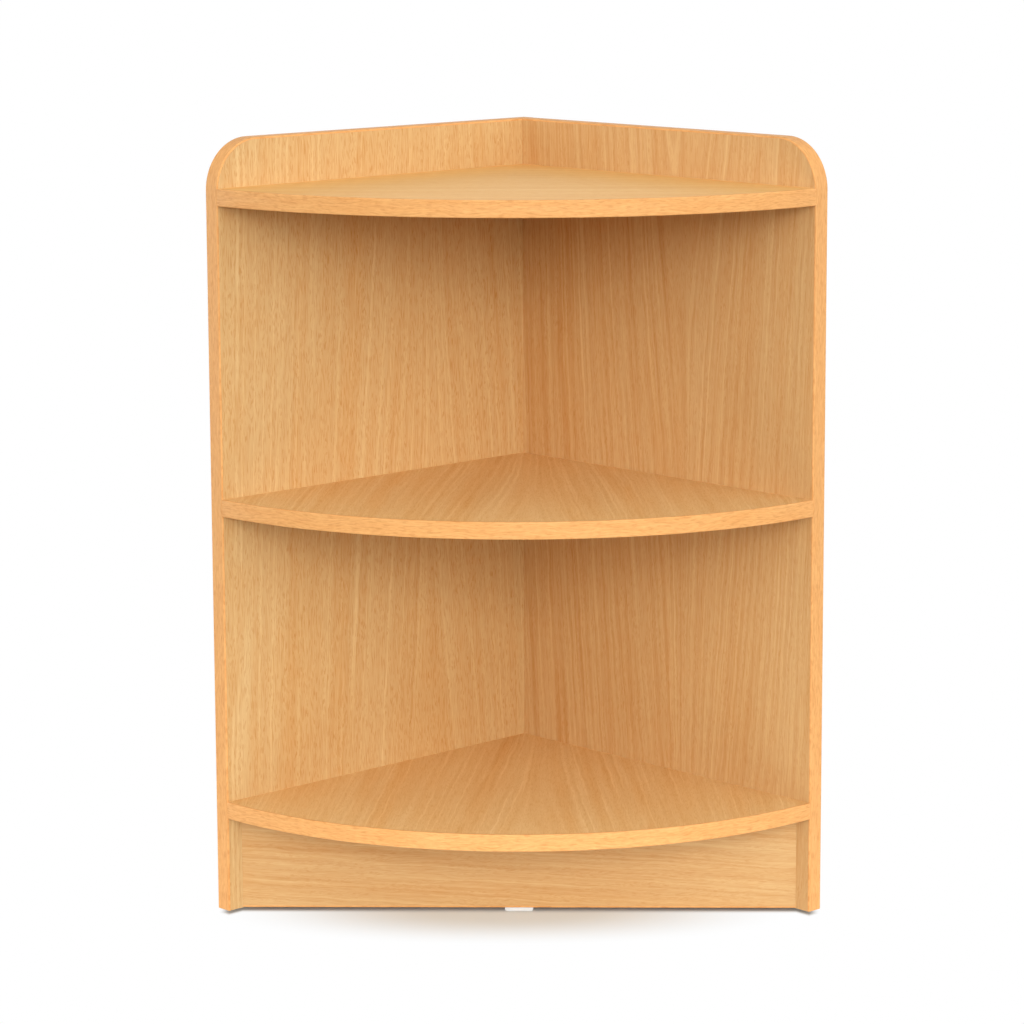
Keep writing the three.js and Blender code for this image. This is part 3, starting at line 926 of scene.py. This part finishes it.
# %% A cam
CAM_HEIGHT = 12.6
CAM_RADIUS = 7.5
CAM_WAIST = 7.2
CAM_STEPS = 48
MID_BOARD = thickness / 2 / MM
SLOT_HALF = 3.7
SLOT_ENDS = (-10, 1)
CROSS_LONG = 4.5
CROSS_SHORT = 1.0
CROSS_DEPTH = 3
POINTER_LOW = (-6.6, -0.3, -OVERCUT)
POINTER_HIGH = (-5.2, 0.3, 0.4)

cam_rim = [(0, 0), (0, 7.05), (0.45, CAM_RADIUS), (1.9, CAM_RADIUS)]
cam_body = [(2.3, CAM_WAIST), (CAM_HEIGHT - 0.5, CAM_WAIST), (CAM_HEIGHT, 6.7), (CAM_HEIGHT, 0)]
cam_blank = turned(cam_rim + cam_body, steps=CAM_STEPS)
moved(cam_blank, X_UP)
cam = carved(
    cam_blank,
    block((SLOT_ENDS[0], -SLOT_HALF, MID_BOARD - SLOT_HALF), (SLOT_ENDS[1], SLOT_HALF, CAM_HEIGHT + OVERCUT)),
    block((-CROSS_LONG, -CROSS_SHORT, -OVERCUT), (CROSS_LONG, CROSS_SHORT, CROSS_DEPTH)),
    block((-CROSS_SHORT, -CROSS_LONG, -OVERCUT), (CROSS_SHORT, CROSS_LONG, CROSS_DEPTH)),
    block(POINTER_LOW, POINTER_HIGH),
)
print("cam with", len(cam.faces), "faces")

# %% A bolt
THREAD_PITCH = 1.8
RIDGES = 5
THREAD_START = -10.2
THREAD_RADIUS = 2.5
THREAD_ROOT = 1.8
RIDGE = ((0.9, THREAD_RADIUS), (1.1, THREAD_RADIUS), (1.5, THREAD_ROOT))
COLLAR_RADIUS = 3.5
COLLAR_EDGE = 3.2
COLLAR_END = 23
NECK_END = 30
NECK_RADIUS = 2.1
HEAD_RADIUS = 3.4
BOLT_REACH = 34
BOLT_STEPS = 32

thread = [(-11, 0), (-11, 1.3), (THREAD_START, 1.9)]
for number in range(RIDGES):
    start = THREAD_START + THREAD_PITCH * number
    thread += [(start + along, radius) for along, radius in RIDGE]
collar = [(0, THREAD_ROOT), (0, COLLAR_EDGE), (0.3, COLLAR_RADIUS), (22.7, COLLAR_RADIUS),
          (COLLAR_END, COLLAR_EDGE)]
neck = [(COLLAR_END, NECK_RADIUS), (NECK_END, NECK_RADIUS)]
head = [(30.6, HEAD_RADIUS), (33.4, HEAD_RADIUS), (BOLT_REACH, 2.8), (BOLT_REACH, 0)]
bolt = turned(thread + collar + neck + head, steps=BOLT_STEPS)
print("bolt with", len(bolt.faces), "faces")

# %% Cams and bolts in their places
for level in levels:
    for side in ("left", "right"):
        for end in ("rear", "front"):
            node = f"{level}_{side}_{end}"
            run = (wall_frame(side).inverted() @ middle_of(f"{node}_cam")).x
            cam_place = from_wall(side, run, BOLT_REACH * MM, underside[level])
            placed(cam, cam_place, f"{node}_cam_disc", "zinc_alloy", zinc_alloy, f"{node}_cam")
            bolt_place = from_wall(side, run, 0, underside[level] + thickness / 2)
            placed(bolt, bolt_place, f"{node}_cam_bolt", "steel", steel, f"{node}_bolt")
print("twelve cams and twelve bolts")

# %% [markdown]
# ## Dowels
# Dowels line the boards up while the cams pull them tight. They are beech rods with flutes, which let the
# glue and the air out of the hole, and with chamfered ends that find the hole. A circle is pressed in at
# every second pair of its points and pulled out in steps, so the flutes fade into the chamfers.

# %% A dowel
DOWEL_RADIUS = 4
DOWEL_IN_FACE = 12
DOWEL_IN_EDGE = 18
DOWEL_CHAMFER = 1
DOWEL_POINTS = 48
FLUTE = 0.94
FLUTE_POINTS = 4

dowel = bmesh.new()
rim = bmesh.ops.create_circle(dowel, cap_ends=False, segments=DOWEL_POINTS, radius=DOWEL_RADIUS * MM)["verts"]
pressed = [v for k, v in enumerate(rim) if k % FLUTE_POINTS >= FLUTE_POINTS / 2]
bmesh.ops.scale(dowel, vec=(FLUTE, FLUTE, 1), verts=pressed)
slim = (DOWEL_RADIUS - DOWEL_CHAMFER) / DOWEL_RADIUS
bmesh.ops.scale(dowel, vec=(slim, slim, 1), verts=rim)
bmesh.ops.contextual_create(dowel, geom=dowel.edges[:])
edges = dowel.edges[:]
straight = DOWEL_IN_FACE + DOWEL_IN_EDGE - 2 * DOWEL_CHAMFER
for step, spread in ((DOWEL_CHAMFER, 1 / slim), (straight, 1), (DOWEL_CHAMFER, slim)):
    edges = pull(dowel, edges, (0, 0, step * MM))
    bmesh.ops.scale(dowel, vec=(spread, spread, 1), verts=ends_of(edges))
bmesh.ops.contextual_create(dowel, geom=edges)
bmesh.ops.translate(dowel, vec=(0, 0, -DOWEL_IN_FACE * MM), verts=dowel.verts)
moved(dowel, X_DOWN)
print("dowel with", len(dowel.faces), "faces")

# %% Dowels in their places
for level in levels:
    for side in ("left", "right"):
        node = f"{level}_{side}_dowel"
        run = (wall_frame(side).inverted() @ middle_of(node)).x
        place = from_wall(side, run, 0, underside[level] + thickness / 2)
        placed(dowel, place, f"{node}_pin", "raw_beech", raw_beech, node)
for number in (1, 2, 3, 4):
    node = f"corner_dowel_{number}"
    middle = middle_of(node)
    place = Matrix.Translation((corner.x, middle.y, middle.z))
    placed(dowel, place, f"corner_pin_{number}", "raw_beech", raw_beech, node)
for number in (1, 2, 3):
    node = f"plinth_dowel_{number}"
    middle = middle_of(node)
    place = Matrix.Translation((middle.x, middle.y, underside["bottom"])) @ X_DOWN
    placed(dowel, place, f"plinth_pin_{number}", "raw_beech", raw_beech, node)
print("thirteen dowels")

# %% [markdown]
# ## The stage
# The photo stands on pure white, with a soft warm shadow close to the unit. So for the camera the floor is a
# matt board that takes the unit's cast shadow, with a glow whose warm tint paints a warm cast into it. The
# floor fades to plain white along an oval in front of the toe space, and within millimetres of the walls'
# feet elsewhere, which paints the shadow's outline; right at the unit's outline the glow is dimmed, a painted
# contact shadow. For the light that bounces it is a white board that ends half a metre to a metre away,
# because an endless one would light the shelves from below, and in the photo their undersides are dark.

# %% Floor
FLOOR_SIZE = 14
MATT = (0.36, 0.36, 0.36, 1)
# The glow lifts the floor towards white, and its warm tint paints a warm cast into the shadow
GLOW = (0.376, 0.354, 0.304, 1)
WHITE = (1, 1, 1, 1)
BOARD_WHITE = 0.92
BOARD_END = (0.55, 0.95)

# The shadow's painted outline: an oval in front, and soft borders measured from the unit's outline on the
# floor
SHADOW_MIDDLE = -0.015
SHADOW_HALF_WIDTH = 0.31
SHADOW_DEPTH = 0.122
OVAL_FADE = (0.22, 1.0)
OUTLINE_FADE = (-0.006, 0.0055)
SIDE_FADE = (0.305, 0.318)
# Where the glow dims near the unit's outline for a painted contact shadow, and how much glow is left there
PAINTED_CONTACT_SHADOW_FADE = (-0.013, 0.008)
GLOW_IN_PAINTED_CONTACT_SHADOW = 0.2

bm = bmesh.new()
bmesh.ops.create_grid(bm, x_segments=1, y_segments=1, size=FLOOR_SIZE / 2)
floor = object_of(bm, "floor")


def seen_rays(tree):
    """1 for rays from the camera, from a gloss and through glass, and 0 for the light that bounces."""
    path = put(tree, "ShaderNodeLightPath").outputs
    seen = sum_of(tree, "MAXIMUM", path["Is Camera Ray"], path["Is Glossy Ray"])
    return sum_of(tree, "MAXIMUM", seen, path["Is Transmission Ray"])


# %% The unit's outline on the floor
floor_material = bpy.data.materials.new("white floor")
tree = empty_tree(floor_material)
floor_place = put(tree, "ShaderNodeTexCoord").outputs["Object"]
in_front = reach(tree, floor_place, OUTWARD)
across = reach(tree, floor_place, ACROSS)
aside = sum_of(tree, "ABSOLUTE", across)
rear_corner = math.sqrt(2) * (thickness - corner.x)
tip = corner - Vector((0, wall_run, 0))
off_tip = sum_of(tree, "ABSOLUTE", sum_of(tree, "ADD", aside, tip.dot(ACROSS)))
foot = sum_of(tree, "MAXIMUM", sum_of(tree, "SUBTRACT", tip.dot(OUTWARD), off_tip), 0)
behind = sum_of(tree, "SUBTRACT", sum_of(tree, "SUBTRACT", aside, in_front), rear_corner)
off_unit = sum_of(tree, "MAXIMUM", sum_of(tree, "SUBTRACT", in_front, foot),
                  sum_of(tree, "DIVIDE", behind, math.sqrt(2)))
print("left tip on the floor", tuple(round(x, 4) for x in tip))

# %% The floor's three looks
distance = put(tree, "ShaderNodeVectorMath", {0: floor_place}, operation="LENGTH").outputs["Value"]
bounce = sum_of(tree, "MULTIPLY_ADD", fade(tree, distance, *BOARD_END), -BOARD_WHITE, BOARD_WHITE)
grey = put(tree, "ShaderNodeCombineColor", {0: bounce, 1: bounce, 2: bounce}).outputs[0]
board = put(tree, "ShaderNodeBsdfDiffuse", {"Color": grey})
matt = put(tree, "ShaderNodeBsdfDiffuse", {"Color": MATT})
# The glow is dimmed close to the unit's outline: a painted contact shadow
contact = sum_of(tree, "MAXIMUM", fade(tree, off_unit, *PAINTED_CONTACT_SHADOW_FADE), GLOW_IN_PAINTED_CONTACT_SHADOW)
glow = put(tree, "ShaderNodeEmission", {"Color": GLOW, "Strength": contact})
lit = put(tree, "ShaderNodeAddShader", {0: matt.outputs[0], 1: glow.outputs[0]})
white = put(tree, "ShaderNodeEmission", {"Color": WHITE})
# The floor turns plain white past an oval in front and beside the walls, which paints the shadow's outline
oval = put(tree, "ShaderNodeCombineXYZ", {
    "X": sum_of(tree, "DIVIDE", sum_of(tree, "SUBTRACT", across, SHADOW_MIDDLE), SHADOW_HALF_WIDTH),
    "Y": sum_of(tree, "DIVIDE", sum_of(tree, "MAXIMUM", off_unit, 0), SHADOW_DEPTH)})
spot = put(tree, "ShaderNodeVectorMath", {0: oval.outputs[0]}, operation="LENGTH").outputs["Value"]
clear = sum_of(tree, "MULTIPLY", fade(tree, spot, *OVAL_FADE), fade(tree, off_unit, *OUTLINE_FADE))
clear = sum_of(tree, "MAXIMUM", clear, fade(tree, aside, *SIDE_FADE))
shown = put(tree, "ShaderNodeMixShader", {0: clear, 1: lit.outputs[0], 2: white.outputs[0]})
either = put(tree, "ShaderNodeMixShader", {0: seen_rays(tree), 1: board.outputs[0], 2: shown.outputs[0]})
put(tree, "ShaderNodeOutputMaterial", {"Surface": either.outputs[0]})
floor.data.materials.append(floor_material)
print("floor with", len(tree.nodes), "nodes")

# %% [markdown]
# ## The light
# The shading in the photo is that of wide soft lamps in front and to the right: the left wall is a little
# brighter than the right one, the corner under each shelf is dark, and nothing throws a hard shadow. A low
# softbox, farther off than the rest, reaches in under the shelves and lights both compartments alike. Strips
# at the sides brighten the outer rims. The studio's walls fill in from all round, its ceiling hardly at
# all. Lamps are placed by degrees: above the horizon, and to the right of the front.

# %% World
WALLS_LIGHT = 1.84
CEILING_LIGHT = 0.43
HORIZON = (-0.005, 0.085)
WALLS_END = (0.38, 0.46)
CEILING_START = (0.58, 0.68)

world = bpy.data.worlds.new("studio")
scene.world = world
tree = empty_tree(world)
look = put(tree, "ShaderNodeTexCoord").outputs["Generated"]
upwards = put(tree, "ShaderNodeSeparateXYZ", {0: look}).outputs["Z"]
above = fade(tree, upwards, *HORIZON)
walls = sum_of(tree, "MULTIPLY_ADD", fade(tree, upwards, *WALLS_END), -WALLS_LIGHT, WALLS_LIGHT)
ceiling = sum_of(tree, "MULTIPLY", fade(tree, upwards, *CEILING_START), CEILING_LIGHT)
strength = sum_of(tree, "MULTIPLY", above, sum_of(tree, "ADD", walls, ceiling))
room = put(tree, "ShaderNodeBackground", {"Color": WHITE, "Strength": strength})
backdrop = put(tree, "ShaderNodeBackground", {"Color": WHITE})
both = put(tree, "ShaderNodeMixShader", {0: seen_rays(tree), 1: room.outputs[0], 2: backdrop.outputs[0]})
put(tree, "ShaderNodeOutputWorld", {"Surface": both.outputs[0]})
print("studio with", len(tree.nodes), "nodes")

# %% Lamps
AIM = Vector((0, 0, 0.4))
LAMP_DISTANCE = 2.8
lamps = {
    "low softbox": dict(height=14, right=10, size=(2.9, 1.6), watts=83, away=5),
    "front softbox": dict(height=30, right=0, size=(1.6, 1.6), watts=24),
    "right softbox": dict(height=24, right=50, size=(1.8, 1.6), watts=20),
    "left softbox": dict(height=18, right=-66, size=(1.6, 1.0), watts=2.5),
    "left rim strip": dict(height=0, right=-105, size=(1.6, 0.7), watts=19),
    "right rim strip": dict(height=0, right=105, size=(1.6, 0.7), watts=8),
    "overhead softbox": dict(height=70, right=-35, size=(1.6, 1.6), watts=9),
}


def softbox(name, place, aim, size, watts):
    """A rectangular lamp that the camera doesn't see."""
    data = bpy.data.lights.new(name, "AREA")
    data.shape = "RECTANGLE"
    data.size, data.size_y = size
    data.energy = watts
    light = in_scene(name, data)
    look = (aim - place).to_track_quat("-Z", "Y").to_matrix().to_4x4()
    light.matrix_world = Matrix.Translation(place) @ look
    light.visible_camera = False
    return light


for name, lamp in lamps.items():
    height, right = math.radians(lamp["height"]), math.radians(lamp["right"])
    heading = ACROSS * math.sin(right) + OUTWARD * math.cos(right)
    away = lamp.get("away", LAMP_DISTANCE)
    place = AIM + (heading * math.cos(height) + UP * math.sin(height)) * away
    softbox(name, place, AIM, lamp["size"], lamp["watts"])
print("lamps:", ", ".join(lamps))

# %% Lamp over the floor
# The floor in front of the toe space has its own small lamp, hung straight over it
BOARD_LAMP = OUTWARD * 0.62 + UP * 1.3
board_lamp = softbox("board lamp", BOARD_LAMP, BOARD_LAMP - UP, size=(0.15, 0.15), watts=1.5)
board_lamp.data.spread = math.radians(40)
print(board_lamp.name, "of", board_lamp.data.energy, "watts")

# %% [markdown]
# ## Colours as they are
# The standard view shows a colour as it is written, with no film look over it, so the wood can be compared
# with the photo by its numbers.

# %% View
scene.view_settings.view_transform = "Standard"
